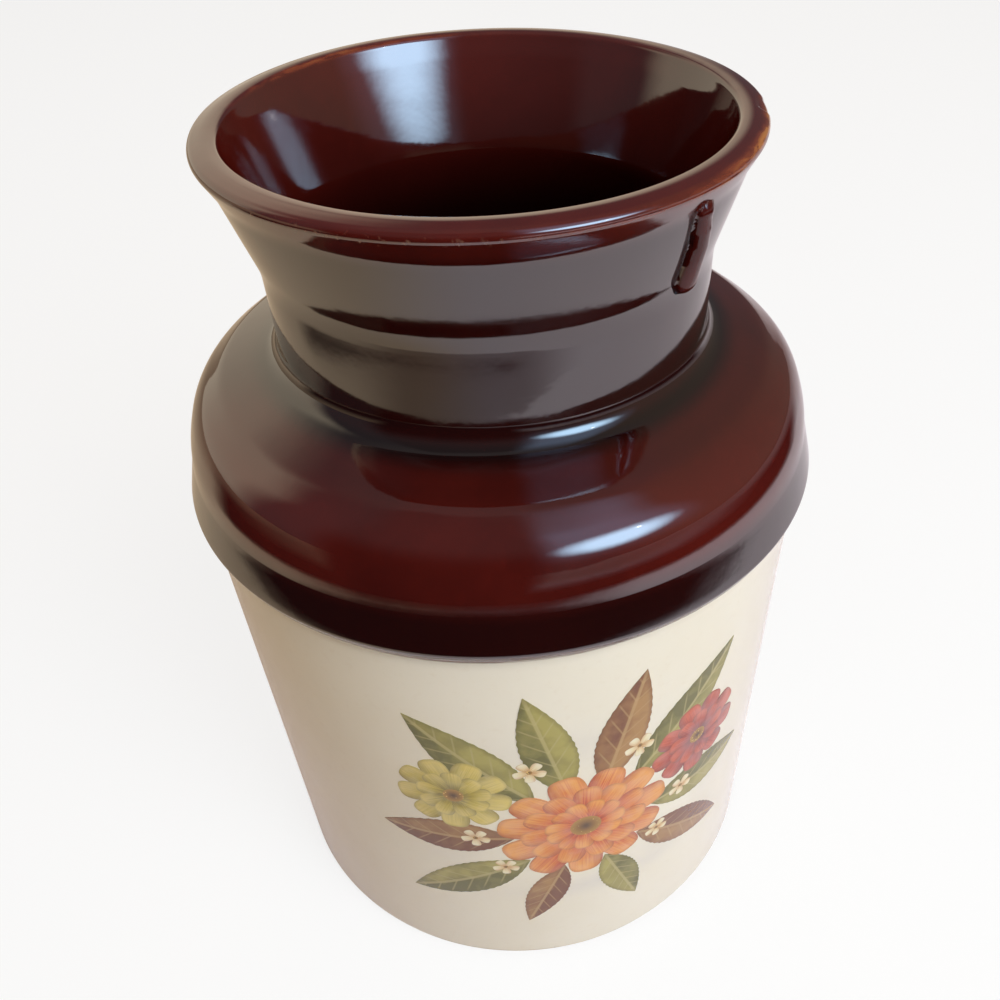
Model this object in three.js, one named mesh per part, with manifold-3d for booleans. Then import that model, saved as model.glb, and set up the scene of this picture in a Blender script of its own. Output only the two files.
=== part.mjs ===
// Open stoneware cookie jar in the form of a milk can: a slip-cast clay body, a brown glaze over the
// lip, neck and shoulder, a brown lining, a cream glaze on the straight wall and a fired-on print.
// Millimetres, +Z up, origin on the table under the middle of the base, the print faces -Y.

import * as THREE from "three";
import { mergeVertices } from "three/addons/utils/BufferGeometryUtils.js";
import Module from "manifold-3d";

// Heights, stacked from the table up
const BODY_HEIGHT = 151;          // table to the line where the cream glaze meets the brown
const BAND_HEIGHT = 13.8;         // moulded band at the foot of the shoulder
const DOME_FOOT_HEIGHT = 5.7;     // nearly upright foot of the dome above the band
const DOME_SIDE_HEIGHT = 8.3;     // steep side of the dome
const DOME_TOP_HEIGHT = 5.8;      // flatter top of the dome
const LEDGE_RISE = 5.2;           // sloped ledge from the dome's edge in to the neck
const NECK_HEIGHT = 23.9;         // straight neck
const FLARE_HEIGHT = 19.9;        // cone of the mouth
const LIP_ROOT_HEIGHT = 7.1;      // sloped underside of the lip
const LIP_HEIGHT = 1.2;           // from the lip's nose to its crown

// Radii and steps, outside of the glaze
const BODY_RADIUS = 82.5;
const BAND_STEP = 2.4;            // the band's lower edge stands out from the cream wall
const BAND_STEP_RISE = 0.8;
const BAND_SWELL = 0.8;           // the band swells this much more, part of the way up
const BAND_SWELL_RISE = 4.2;
const CREASE_PROUD = 0.4;         // the crease on top of the band stands out from the cream wall
const DOME_FOOT_LEAN = 1.2;       // the dome's foot leans in from the crease
const DOME_SIDE_LEAN = 3.2;       // and its side leans in from the foot
const DOME_TOP_WIDTH = 8;         // the dome's top runs in to a soft edge
const NECK_RADIUS = 54.4;
const FLARE_REACH = 6.05;         // the mouth's cone widens by this much
const LIP_PROUD = 3.95;           // the lip's nose stands out from the cone
const CROWN_INSET = 5;            // the crown of the lip lies in from its nose
const CROWN_DROP = 0.5;           // and slopes down from there to the mouth

// Fillets, each limited by the sides it joins
const BAND_EDGE_FILLET = 1.2;
const BAND_FILLET = 9;
const CREASE_FILLET = 6;
const DOME_FOOT_FILLET = 40;
const DOME_FILLET = 16;
const LEDGE_FILLET = 9;
const COVE_FILLET = 6;
const FLARE_FILLET = 20;
const LIP_ROOT_FILLET = 14;
const LIP_NOSE_FILLET = 2.2;
const CROWN_FILLET = 8;
const LIP_INNER_FILLET = 1.6;
const INNER_NECK_FILLET = 12;
const INNER_DOME_FILLET = 12;
const FLOOR_FILLET = 8;
const FOOT_FILLET = 2.4;

// Walls, coats and foot
const WALL = 6;                   // from the outside glaze to the lining
const FLOOR = 7;                  // from the base glaze to the lining
const GLAZE = 0.5;                // thickness of every coat
const BOND = 0.1;                 // clearance between a coat or print and what carries it
const TURN_IN = 6;                // the outside coat turns over the lip and ends this far below the crown
const BARE_FOOT = 2.6;            // clay left bare above the table
const FOOT_RING = 12;             // width of the ring that the jar stands on
const RECESS = 3;                 // height of the base inside that ring
const RECESS_DRAFT = 2;

// Transfer print on the front, its places and sizes in shares of its reach, along the wall
const PRINT_HEIGHT = 82;          // the print's middle above the table
const PRINT_REACH = 56;           // from the middle to the tip of the widest leaf
const PRINT_THICKNESS = 0.2;
const PETAL_NOTCH = 0.036;        // depth of the notch between two petals
const LEAF_BELLY = 0.4;           // share of a leaf's length where it is widest
const BLOOMS = [
  { across: 0, up: -0.11, radius: 0.48, petals: 11 },
  { across: -0.64, up: 0.23, radius: 0.3, petals: 9 },
  { across: 0.64, up: 0.23, radius: 0.3, petals: 9 },
];
const LEAVES = [                  // one leaf on each side, its lean in degrees from upright
  { across: 0.09, up: 0.21, lean: 14, length: 0.79, width: 0.25 },
  { across: 0.25, up: 0.18, lean: 42, length: 0.86, width: 0.27 },
  { across: 0.36, up: -0.14, lean: 92, length: 0.7, width: 0.27 },
  { across: 0.29, up: -0.36, lean: 122, length: 0.79, width: 0.27 },
  { across: 0.11, up: -0.46, lean: 160, length: 0.61, width: 0.21 },
];

// Finishes
const BROWN = 0x4a150e;
const CREAM = 0xeee2cc;
const CLAY = 0xd8c3a0;
const PRINT = 0xc8602a;
const GLOSSY = 0.12;              // roughness of the fired glazes
const DULL = 0.85;                // and of the bare clay

// Fineness
const SEGMENTS = 40;              // facets around the jar
const ARC_STEP = THREE.MathUtils.degToRad(26);
const PETAL_STEPS = 4;
const LEAF_STEPS = 5;
const FILLET_ROOM = 0.48;         // share of a side that one fillet may take

const wasm = await Module();
wasm.setup();

const point = (radius, height) => new THREE.Vector2(radius, height);
const corner = (at, fillet = 0) => ({ at, fillet });

// Polyline through the corners, each rounded by its own fillet as far as its sides have room
function rounded(corners) {
  const points = [];
  corners.forEach(({ at, fillet }, i) => {
    if (fillet === 0) {
      points.push(at.clone());
      return;
    }
    const back = corners[i - 1].at.clone().sub(at);
    const ahead = corners[i + 1].at.clone().sub(at);
    const room = Math.min(back.length(), ahead.length()) * FILLET_ROOM;
    back.normalize();
    ahead.normalize();
    const halfAngle = Math.acos(back.dot(ahead)) / 2;
    const radius = Math.min(fillet, room * Math.tan(halfAngle));
    const centre = back.clone().add(ahead).setLength(radius / Math.sin(halfAngle)).add(at);
    const spoke = back.clone().setLength(radius / Math.tan(halfAngle)).add(at).sub(centre);
    const sweep = (Math.PI - 2 * halfAngle) * Math.sign(ahead.cross(back));
    const steps = Math.max(1, Math.ceil(Math.abs(sweep) / ARC_STEP));
    for (let step = 0; step <= steps; step += 1) {
      const turned = spoke.clone().rotateAround(new THREE.Vector2(), (sweep * step) / steps);
      points.push(turned.add(centre));
    }
  });
  return points;
}

// The polyline moved to its left, with mitred corners
function moved(points, distance) {
  const leftOf = (from, to) => point(from.y - to.y, to.x - from.x).normalize();
  const last = points.length - 1;
  return points.map((at, i) => {
    const before = leftOf(points[Math.max(i, 1) - 1], points[Math.max(i, 1)]);
    const after = leftOf(points[Math.min(i, last - 1)], points[Math.min(i, last - 1) + 1]);
    const mitre = before.clone().add(after).divideScalar(1 + before.dot(after));
    return mitre.multiplyScalar(distance).add(at);
  });
}

// The point at a height on the line through two points
function onLine(from, to, height) {
  return from.clone().lerp(to, (height - from.y) / (to.y - from.y));
}

// Corners of the outside, from the table up
const bandFoot = point(BODY_RADIUS + BAND_STEP, BODY_HEIGHT + BAND_STEP_RISE);
const bandSwell = point(bandFoot.x + BAND_SWELL, bandFoot.y + BAND_SWELL_RISE);
const crease = point(BODY_RADIUS + CREASE_PROUD, BODY_HEIGHT + BAND_HEIGHT);
const domeFoot = point(crease.x - DOME_FOOT_LEAN, crease.y + DOME_FOOT_HEIGHT);
const dome = point(domeFoot.x - DOME_SIDE_LEAN, domeFoot.y + DOME_SIDE_HEIGHT);
const ledgeEdge = point(dome.x - DOME_TOP_WIDTH, dome.y + DOME_TOP_HEIGHT);
const neckFoot = point(NECK_RADIUS, ledgeEdge.y + LEDGE_RISE);
const neckTop = point(NECK_RADIUS, neckFoot.y + NECK_HEIGHT);
const lipRoot = point(NECK_RADIUS + FLARE_REACH, neckTop.y + FLARE_HEIGHT);
const lipNose = point(lipRoot.x + LIP_PROUD, lipRoot.y + LIP_ROOT_HEIGHT);
const crown = point(lipNose.x - CROWN_INSET, lipNose.y + LIP_HEIGHT);

// Corners of the inside, a wall in from the outside, from the floor up
const floorTop = RECESS + FLOOR;
const domeSlope = DOME_TOP_HEIGHT / DOME_TOP_WIDTH;
const [innerFoot, innerDome, innerEdge, innerNeck, innerNeckTop, innerCone] = moved([
  point(BODY_RADIUS, floorTop),
  point(BODY_RADIUS, ledgeEdge.y - domeSlope * (BODY_RADIUS - ledgeEdge.x)),
  ledgeEdge,
  neckFoot,
  neckTop,
  onLine(neckTop, lipRoot, crown.y),
], WALL);
const mouthEdge = onLine(innerNeckTop, innerCone, crown.y - CROWN_DROP);
const turnIn = onLine(innerNeckTop, innerCone, crown.y - TURN_IN);

// The glazed surface in three stretches, from the bare foot over the lip to the middle of the floor
const wallFoot = point(BODY_RADIUS, BARE_FOOT);
const wallTop = point(BODY_RADIUS, BODY_HEIGHT);
const wallLine = [wallFoot, wallTop];
const topLine = rounded([
  corner(wallTop),
  corner(bandFoot, BAND_EDGE_FILLET),
  corner(bandSwell, BAND_FILLET),
  corner(crease, CREASE_FILLET),
  corner(domeFoot, DOME_FOOT_FILLET),
  corner(dome, DOME_FILLET),
  corner(ledgeEdge, LEDGE_FILLET),
  corner(neckFoot, COVE_FILLET),
  corner(neckTop, FLARE_FILLET),
  corner(lipRoot, LIP_ROOT_FILLET),
  corner(lipNose, LIP_NOSE_FILLET),
  corner(crown, CROWN_FILLET),
  corner(mouthEdge, LIP_INNER_FILLET),
  corner(turnIn),
]);
const liningLine = rounded([
  corner(turnIn),
  corner(innerNeckTop, FLARE_FILLET - WALL),
  corner(innerNeck, INNER_NECK_FILLET),
  corner(innerEdge),
  corner(innerDome, INNER_DOME_FILLET),
  corner(innerFoot, FLOOR_FILLET),
  corner(point(0, floorTop)),
]);
const glazed = [...wallLine, ...topLine.slice(1), ...liningLine.slice(1)];
const glazeLine = wallLine.length - 1;
const liningStart = glazeLine + topLine.length - 1;

// Clay under the coats, and the foot ring inside its rounded edge
const clayLine = moved(glazed, GLAZE + BOND);
const footRadius = clayLine[0].x;
const ringInside = footRadius - FOOT_FILLET - FOOT_RING;
const recessRadius = ringInside - RECESS_DRAFT;

function revolved(profile) {
  const geometry = new THREE.LatheGeometry(profile, SEGMENTS);
  geometry.rotateX(Math.PI / 2);
  return geometry;
}

// The cast body, closed below by the recessed base and the foot ring
function bodyGeometry() {
  const ceiling = RECESS + GLAZE + BOND;
  const foot = rounded([
    corner(point(0, ceiling)),
    corner(point(recessRadius, ceiling)),
    corner(point(ringInside, 0)),
    corner(point(footRadius, 0), FOOT_FILLET),
    corner(clayLine[0]),
  ]);
  return revolved([...foot, ...clayLine.slice(1)]);
}

// One coat over a stretch of the glazed surface
function coatGeometry(first, last) {
  const skin = glazed.slice(first, last + 1);
  const back = moved(glazed, GLAZE).slice(first, last + 1).reverse();
  const loop = [...back, ...skin];
  const endsOnAxis = last === glazed.length - 1;
  return revolved(endsOnAxis ? loop : [...loop, back[0]]);
}

// Coat in the recess under the base, clear of the ring's sloped side
function baseGlazeGeometry() {
  const radius = recessRadius - BOND;
  return revolved([
    point(0, RECESS),
    point(radius, RECESS),
    point(radius, RECESS + GLAZE),
    point(0, RECESS + GLAZE),
  ]);
}

// A closed solid that can be joined and cut
function solid(geometry) {
  geometry.deleteAttribute("normal");
  geometry.deleteAttribute("uv");
  const merged = mergeVertices(geometry);
  return new wasm.Manifold(new wasm.Mesh({
    numProp: 3,
    vertProperties: merged.attributes.position.array,
    triVerts: new Uint32Array(merged.index.array),
  }));
}

function fromSolid(manifold) {
  const { vertProperties, triVerts } = manifold.getMesh();
  const geometry = new THREE.BufferGeometry();
  geometry.setAttribute("position", new THREE.BufferAttribute(vertProperties, 3));
  geometry.setIndex(new THREE.BufferAttribute(triVerts, 1));
  geometry.computeVertexNormals();
  return geometry;
}

// Round flower outline with a notch between petals
function bloomOutline({ across, up, radius, petals }) {
  const count = petals * PETAL_STEPS;
  return Array.from({ length: count }, (_, i) => {
    const angle = (2 * Math.PI * i) / count;
    const reach = radius - PETAL_NOTCH * (1 - Math.abs(Math.sin((petals * angle) / 2)));
    return point(across + reach * Math.sin(angle), up + reach * Math.cos(angle));
  });
}

// Pointed leaf outline, leaning to one side
function leafOutline({ across, up, lean, length, width }, side) {
  const leaf = new THREE.Shape();
  leaf.moveTo(0, 0);
  leaf.quadraticCurveTo(width, length * LEAF_BELLY, 0, length);
  leaf.quadraticCurveTo(-width, length * LEAF_BELLY, 0, 0);
  const angle = -side * THREE.MathUtils.degToRad(lean);
  const root = point(side * across, up);
  return leaf.getPoints(LEAF_STEPS).slice(0, -1).map((at) => at.rotateAround(point(0, 0), angle).add(root));
}

// Straight column towards the front whose section wraps to the outline on the wall
function column(outline, radius) {
  const flat = outline.map((share) => {
    const { x, y } = share.clone().multiplyScalar(PRINT_REACH);
    return point(radius * Math.sin(x / radius), PRINT_HEIGHT + y);
  });
  const options = { depth: 2 * radius, bevelEnabled: false };
  const geometry = new THREE.ExtrudeGeometry(new THREE.Shape(flat), options);
  geometry.rotateX(Math.PI / 2);
  return solid(geometry);
}

// Film of the print: a thin sleeve cut to the outline of the flowers and leaves
function printGeometry() {
  const inside = BODY_RADIUS + BOND;
  const outside = inside + PRINT_THICKNESS;
  const top = BODY_HEIGHT - BOND;
  const sleeve = solid(revolved([
    point(inside, top),
    point(inside, BARE_FOOT),
    point(outside, BARE_FOOT),
    point(outside, top),
    point(inside, top),
  ]));
  const outlines = [
    ...BLOOMS.map(bloomOutline),
    ...LEAVES.flatMap((leaf) => [leafOutline(leaf, -1), leafOutline(leaf, 1)]),
  ];
  const columns = outlines.map((outline) => column(outline, inside));
  const posy = columns.reduce((joined, next) => joined.add(next));
  return fromSolid(sleeve.intersect(posy));
}

function piece(name, geometry, color, roughness) {
  const material = new THREE.MeshStandardMaterial({ color, roughness, metalness: 0 });
  const mesh = new THREE.Mesh(geometry, material);
  mesh.name = name;
  return mesh;
}

const jar = new THREE.Group();
jar.add(
  piece("stoneware_body", bodyGeometry(), CLAY, DULL),
  piece("brown_top_glaze", coatGeometry(glazeLine, liningStart), BROWN, GLOSSY),
  piece("brown_lining_glaze", coatGeometry(liningStart, glazed.length - 1), BROWN, GLOSSY),
  piece("cream_body_glaze", coatGeometry(0, glazeLine), CREAM, GLOSSY),
  piece("base_glaze", baseGlazeGeometry(), CREAM, GLOSSY),
  piece("transfer_print", printGeometry(), PRINT, GLOSSY),
);

export default jar;
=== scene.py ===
"""Looks of an open stoneware cookie jar in the form of a milk can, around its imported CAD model.

The clay body, its glaze coats and the fired-on print are built again here at full smoothness.
Lengths are in millimetres until a mesh is made, in the CAD model's frame. Azimuths are degrees
round the jar from the middle of the print, which faces -Y, and grow towards +X.
"""

import math

import bpy
import numpy as np
from mathutils import Matrix, Vector


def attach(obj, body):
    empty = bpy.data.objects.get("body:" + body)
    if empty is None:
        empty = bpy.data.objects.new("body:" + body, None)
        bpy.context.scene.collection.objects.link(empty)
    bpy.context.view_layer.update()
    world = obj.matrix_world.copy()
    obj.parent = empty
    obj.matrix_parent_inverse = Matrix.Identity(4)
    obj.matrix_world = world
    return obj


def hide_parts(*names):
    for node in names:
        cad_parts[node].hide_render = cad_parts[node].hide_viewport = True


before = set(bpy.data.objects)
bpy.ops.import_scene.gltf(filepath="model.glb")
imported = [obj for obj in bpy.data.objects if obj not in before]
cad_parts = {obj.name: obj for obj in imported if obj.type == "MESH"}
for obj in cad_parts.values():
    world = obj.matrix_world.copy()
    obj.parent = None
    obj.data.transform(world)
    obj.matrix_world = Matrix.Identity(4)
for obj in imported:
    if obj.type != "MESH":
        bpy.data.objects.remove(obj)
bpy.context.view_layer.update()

MM = 0.001

# Sizes of the jar, the same as in the part's source, with the heights stacked from the table up
BODY_RADIUS = 82.5
BODY_HEIGHT = 151.0  # table to the line where the cream glaze meets the brown
BAND_HEIGHT = 13.8  # moulded band at the foot of the shoulder
DOME_FOOT_INSET = 0.8  # the dome's foot lies this far in from the wall's line
DOME_FOOT_HEIGHT = 5.7
DOME_SIDE_LEAN = 3.2
DOME_SIDE_HEIGHT = 8.3
DOME_TOP_WIDTH = 8.0
DOME_TOP_HEIGHT = 5.8
LEDGE_RISE = 5.2  # sloped ledge from the dome's edge in to the neck
NECK_RADIUS = 54.4
NECK_HEIGHT = 23.9
FLARE_REACH = 6.05  # the mouth's cone widens by this much
FLARE_HEIGHT = 19.9
LIP_PROUD = 3.95  # the lip's nose stands out from the cone
LIP_ROOT_HEIGHT = 7.1
LIP_HEIGHT = 1.2
CROWN_INSET = 5.0
CROWN_DROP = 0.5
WALL = 6.0  # from the outside glaze to the lining
FLOOR = 7.0  # from the base glaze to the lining
GLAZE = 0.5  # thickness of every coat
BOND = 0.1  # clearance between a coat and the clay
TURN_IN = 6.0  # the outside coat ends this far below the crown, inside the mouth
BARE_FOOT = 2.6
FOOT_RING = 12.0
RECESS = 3.0
RECESS_DRAFT = 2.0

# Fillets, the same as in the part's source, each limited by the sides it joins
FILLET_ROOM = 0.48
DOME_FOOT_FILLET = 40.0
DOME_FILLET = 16.0
LEDGE_FILLET = 9.0
COVE_FILLET = 6.0
FLARE_FILLET = 20.0
LIP_ROOT_FILLET = 14.0
LIP_NOSE_FILLET = 2.2
CROWN_FILLET = 8.0
LIP_INNER_FILLET = 1.6
INNER_NECK_FILLET = 12.0
INNER_DOME_FILLET = 12.0
FLOOR_FILLET = 8.0
FOOT_FILLET = 2.4

# Edge of the band and crease over it, a little sharper than in the part's source
BAND_STEP = 2.0
BAND_STEP_RISE = 1.2
BAND_SWELL = 1.1
BAND_SWELL_RISE = 2.6
CREASE_PROUD = 0.25
BAND_EDGE_FILLET = 0.7
BAND_FILLET = 1.8
CREASE_FILLET = 2.6

# Inner edge of the foot ring, which is sharp in the part's source
FOOT_INNER_FILLET = 0.8

# Traces of dipping, firing and use, and painted shade on the brown glaze and under the band
SHY = 0.22  # the brown skin stays this far inside the CAD's outline
TOP_WAVES = (  # depth, number round the jar, height of one radian and phase
    (0.05, 2, 17, 0),
    (0.04, 3, -11, 1),
    (0.02, 7, 6, 0),
)
WALL_SHY = 0.05
WALL_WAVES = ((0.03, 2, 40, 0),)
RUN = (  # azimuth, height, half width and lift down the run of glaze
    (32.8, 233.4, 2.4, 1.8),
    (33.6, 230.0, 2.6, 2.4),
    (34.8, 226.0, 2.7, 2.6),
    (35.4, 221.5, 2.8, 2.6),
    (35.8, 218.0, 3.2, 2.7),
    (35.9, 217.0, 3.3, 2.7),
)
DENT = (70.5, 8.0, 0.7)  # azimuth, half length along the lip and depth
DENT_INSET, DENT_REACH = 1.2, 3.2  # its middle from the lip's nose, and how far it reaches round the lip
DENT_STEEP, DENT_POWER = 0.5, 1.3  # how much shorter its near end is, and how its depth falls off
# The brown glaze is darkened on the band and the cove as pooled glaze and painted shade, and on the neck as
# painted shade
BAND_POOL_AND_SHADE = (1.5, 4, 12, 18)  # heights over the cream wall where the brown glaze thickens and thins, and painted shade darkens it
NECK_PAINTED_SHADE = (-4, 0, 42.2, 47.2)  # and over the neck's foot, for painted shade on the neck
POOL_AND_SHADE_SHARE, RUN_SHARE = 0.85, 0.2  # how thick and dark it lies there, and on the run
POOL_AND_SHADE_RINGS = (  # radius, height, width and share of rings where it has gathered and shade is painted
    (57, 189, 6, 1.0),
    (66, 186, 8, 0.4),
)
HEM_HEIGHT = 149.6  # a dark brown line reaches this far down the cream wall, under the band
HEM_SHARE, HEM_EDGE = 0.8, 0.4  # how strong that is, and how soft its lower edge
UNDER_BAND_SHADE_SHARE, UNDER_BAND_SHADE_REACH = 0.1, 3.0  # and the faint painted shade below it, under the band's overhang
TINTS = (  # across, up, half width, half height and strength of washes by the print
    (8, -40, 26, 5, 0.4),
    (-40, -8, 9, 14, 0.3),
    (44, -10, 9, 13, 0.3),
    (0, 32, 22, 8, 0.25),
    (30, -34, 15, 7, 0.3),
)

# Rings of the lip with thin or worn glaze: place from the lip's nose or the mouth's edge, width, even share
# and arcs as (middle as the camera sees it, half width, share)
THIN_OUTER = ((-1.5, 0.2), 1.4, 0.1, ((70, 20, 0.7), (175, 45, 0.3), (-140, 30, 0.6)))
THIN_FACE = ((-1.2, -1.9), 1.6, 0.06, ((64, 22, 0.65), (25, 25, 0.2)))
THIN_INNER = ((0.4, 0.0), 1.1, 0.1, ((-140, 32, 0.5), (60, 25, 0.2)))
WORN_FACE = ((-1.2, -1.8), 0.9, 0.0, ((-30, 28, 0.7),))
THIN_HEM, THIN_HEM_WIDTH = 0.3, 0.9

# Print, the same as in the part's source: places and sizes in shares of its reach
PRINT_HEIGHT, PRINT_REACH, LEAF_BELLY = 82.0, 56.0, 0.4
BLOOMS = {  # across, up, radius and number of petals
    "orange": (0, -0.11, 0.48, 11),
    "yellow": (-0.64, 0.23, 0.3, 9),
    "red": (0.64, 0.23, 0.3, 9),
}
LEAVES = (  # across, up, lean, length and width, on both sides
    (0.09, 0.21, 14, 0.79, 0.25),
    (0.25, 0.18, 42, 0.86, 0.27),
    (0.36, -0.14, 92, 0.7, 0.27),
    (0.29, -0.36, 122, 0.79, 0.27),
    (0.11, -0.46, 160, 0.61, 0.21),
)

# Finer parts of the print
BROWN_LEAVES = {(0, 1), (2, -1), (3, 1), (4, -1)}  # row of LEAVES and side; the others are olive
BLOSSOMS = ((0.27, 0.43, 0.085), (0.56, -0.14, 0.08), (0.42, -0.42, 0.075))  # across, up and radius
BLOSSOM_PETALS = 5
ROSETTE_RINGS = ((1, 0.27, 0.5), (0.74, 0.29, 0), (0.47, 0.33, 0.5))  # reach, width and turn of its petals
BLOOM_RINGS = ((1, 0.33, 0.5), (0.66, 0.36, 0))
BLOSSOM_RINGS = ((1, 0.42, 0.5),)
HEART_SHARE = 0.17
BLOOM_SEEDS = {"yellow": 21, "red": 22}
LEAF_SEED, ROSETTE_SEED, BLOSSOM_SEED = 5, 23, 31
PRINT_VALUES = ("along", "across", "rim", "shade")
PRINT_BACK = -0.1  # the patches' backs lie this far under the wall's nominal skin
LEAF_LIFT, LEAF_LAYER = 0.04, 0.006
BLOOM_LIFT, BLOSSOM_LIFT, ROSETTE_LIFT, PETAL_LAYER = 0.08, 0.09, 0.13, 0.018
FAN_TILT = 0.01  # one side of a petal lies this far over the next one
PATCH_STEP = 2.4  # longest side of a patch's faces, so that they follow the wall
LEAF_COLOURS = {  # dark half, light half and veins
    "olive": ((0.14, 0.13, 0.02), (0.42, 0.36, 0.09), (0.5, 0.42, 0.16)),
    "brown": ((0.19, 0.06, 0.018), (0.42, 0.22, 0.07), (0.5, 0.31, 0.12)),
}
PETAL_COLOURS = {  # root, middle and tip
    "yellow": ((0.2, 0.15, 0.015), (0.5, 0.38, 0.045), (0.74, 0.58, 0.14)),
    "red": ((0.1, 0.006, 0.004), (0.36, 0.025, 0.01), (0.6, 0.1, 0.035)),
    "orange": ((0.34, 0.025, 0.006), (0.64, 0.11, 0.016), (0.85, 0.36, 0.07)),
    "pale": ((0.6, 0.3, 0.09), (0.82, 0.66, 0.36), (0.88, 0.8, 0.58)),
}

# Camera of the photograph, in pixels of a picture 1000 wide and in the part's frame
PICTURE = 1000.0
FOCAL, CENTRE_X, CENTRE_Y = 939.8, 535.9, 570.0
CAMERA_REACH, CAMERA_HEIGHT = 220.1, 311.3
CAMERA_PITCH, CAMERA_YAW, CAMERA_ROLL = 0.7683, -0.0383, -0.0408
CAMERA_AZIMUTH = -11.5

# Floor, room and lamps, in metres; their azimuths are from the camera's side of the jar
AIM = Vector((0, 0, 0.16))
GROUND_REACH, ROOM_REACH = 6.0, 8.0
GROUND_PALE, GROUND_BOUNCE = (0.92, 0.92, 0.92), (0.43, 0.335, 0.235)
GROUND_TAN_SHADE, GROUND_COOL = (0.92, 0.74, 0.54), (1.0, 0.93, 1.0)  # as mirrored at the left, tan and darker as painted shade of the jar's shadow, and at the right
GROUND_TAN_SHADE_EDGE = (-0.24, 0.0)  # places from left to right between which one turns into the other
GROUND_GLOW, MIRRORED_GLOW = 0.82, 0.3
ROOM_DIM, ROOM_RIGHT, ROOM_CEILING = (0.11, 0.105, 0.115), (0.2, 0.165, 0.135), (0.16, 0.15, 0.15)
ROOM_WALL, ROOM_WINDOW = (0.98, 0.83, 0.63), (0.52, 0.7, 1.0)
CARD_DARK, CARD_GREY, CARD_GREY_HEIGHTS = (0.02, 0.013, 0.015), (0.085, 0.08, 0.085), (0.22, 0.42)
CARD_REACH, CARD_FURTHER = 0.33, 0.05  # its distance, and how much more that is at the right
CARD_HEIGHT, CARD_SIDE_HEIGHT = 1.1, 0.2
CARD_ARC, CARD_TALL_ARC, CARD_SOFT = (-108, 122), (-64, 18), 14
CARD_FOOT = (0.03, 0.05)  # it is a veil below the first height, and solid above the second
CARD_VEIL, CARD_VEIL_MIDDLE, CARD_VEIL_ARC = 0.55, -15, (25, 60)
WORLD_FILL = (0.19, 0.134, 0.08)
SKY, DAY, WARM = (0.5, 0.75, 1.0), (1.0, 0.97, 0.92), (1.0, 0.93, 0.84)
LAMP_CORE = 0.15  # a lamp is full out to this share of its width, and fades from there
LAMPS = (  # name, azimuth, elevation, distance, width, height, radiance, colour, shows
    ("window", 38, 26, 1.4, 1.25, 0.75, 8.5, SKY, True),
    ("bulb", 47, 31, 1.3, 0.05, 0.02, 50.0, DAY, True),
    ("key", 41, 44, 1.6, 1.6, 1.6, 6.7, DAY, False),
    ("overhead", -30, 75, 1.6, 1.6, 1.6, 0.9, WARM, False),
    ("back", 178, 38, 1.6, 1.2, 1.2, 1.6, WARM, False),
)

# Fineness of the meshes
ARC_STEP, ARC_SIDE = math.radians(6), 1.0  # the sides of an arc turn and reach no further than this
FOOT_ARC_STEP = math.radians(10)
COLUMNS, CLAY_COLUMNS, BASE_COLUMNS, ROOM_COLUMNS = 216, 180, 120, 48
RUN_WINDOW = (28.5, 40.5, 0.16)  # azimuths from, to and step of finer columns
DENT_WINDOW = (62.0, 80.0, 0.5)
TOP_ZONES = ((212, 236, 0.5), (236, 242, 0.45))  # heights from, to and longest side of finer rows
TOP_ROW, LINING_ROW, LINING_FLOOR_ROW, WALL_ROW, FOOT_ROW, BASE_ROW = 2.0, 3.0, 6.0, 2.5, 4.0, 8.0
HEM_ROWS, HEM_ROW = 3, 0.15  # the wall's last rows are split this finely for the hem
SHARP = math.radians(40)  # edges that turn further than this aren't smoothed over


# Profiles

def rounded(corners, step=ARC_STEP):
    """Polyline through (radius, height, fillet) corners, each rounded as far as its sides have room."""
    points = []
    for i, (x, y, fillet) in enumerate(corners):
        at = np.array((x, y))
        if fillet == 0:
            points.append(at)
            continue
        back = np.array(corners[i - 1][:2]) - at
        ahead = np.array(corners[i + 1][:2]) - at
        room = min(np.linalg.norm(back), np.linalg.norm(ahead)) * FILLET_ROOM
        back /= np.linalg.norm(back)
        ahead /= np.linalg.norm(ahead)
        half = math.acos(np.clip(back @ ahead, -1, 1)) / 2
        radius = min(fillet, room * math.tan(half))
        middle = back + ahead
        centre = at + middle / np.linalg.norm(middle) * radius / math.sin(half)
        spoke = at + back * radius / math.tan(half) - centre
        sweep = (math.pi - 2 * half) * np.sign(ahead[0] * back[1] - ahead[1] * back[0])
        steps = max(1, math.ceil(abs(sweep) / step), math.ceil(abs(sweep) * radius / ARC_SIDE))
        for k in range(steps + 1):
            c, s = math.cos(sweep * k / steps), math.sin(sweep * k / steps)
            points.append(centre + np.array((c * spoke[0] - s * spoke[1], s * spoke[0] + c * spoke[1])))
    return points


def mitres(points):
    """Mitred normals to the left of a polyline, one for each point."""
    sides = np.diff(np.asarray(points), axis=0)
    sides /= np.linalg.norm(sides, axis=1, keepdims=True)
    normals = np.column_stack((-sides[:, 1], sides[:, 0]))
    before = np.vstack((normals[:1], normals))
    after = np.vstack((normals, normals[-1:]))
    return (before + after) / (1 + (before * after).sum(1, keepdims=True))


def moved(points, distance):
    return np.asarray(points) + mitres(points) * distance


def on_line(a, b, height):
    a, b = np.asarray(a), np.asarray(b)
    return a + (b - a) * (height - a[1]) / (b[1] - a[1])


def refined(points, longest, zones=()):
    """The polyline with its long sides split; zones are (low, high, longest) heights with finer sides."""
    out = [np.asarray(points[0])]
    for a, b in zip(points[:-1], points[1:]):
        a, b = np.asarray(a), np.asarray(b)
        limit = longest
        for low, high, finer in zones:
            if max(a[1], b[1]) > low and min(a[1], b[1]) < high:
                limit = finer
        parts = max(1, math.ceil(np.linalg.norm(b - a) / limit))
        out.extend(a + (b - a) * k / parts for k in range(1, parts + 1))
    return np.array(out)


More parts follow.
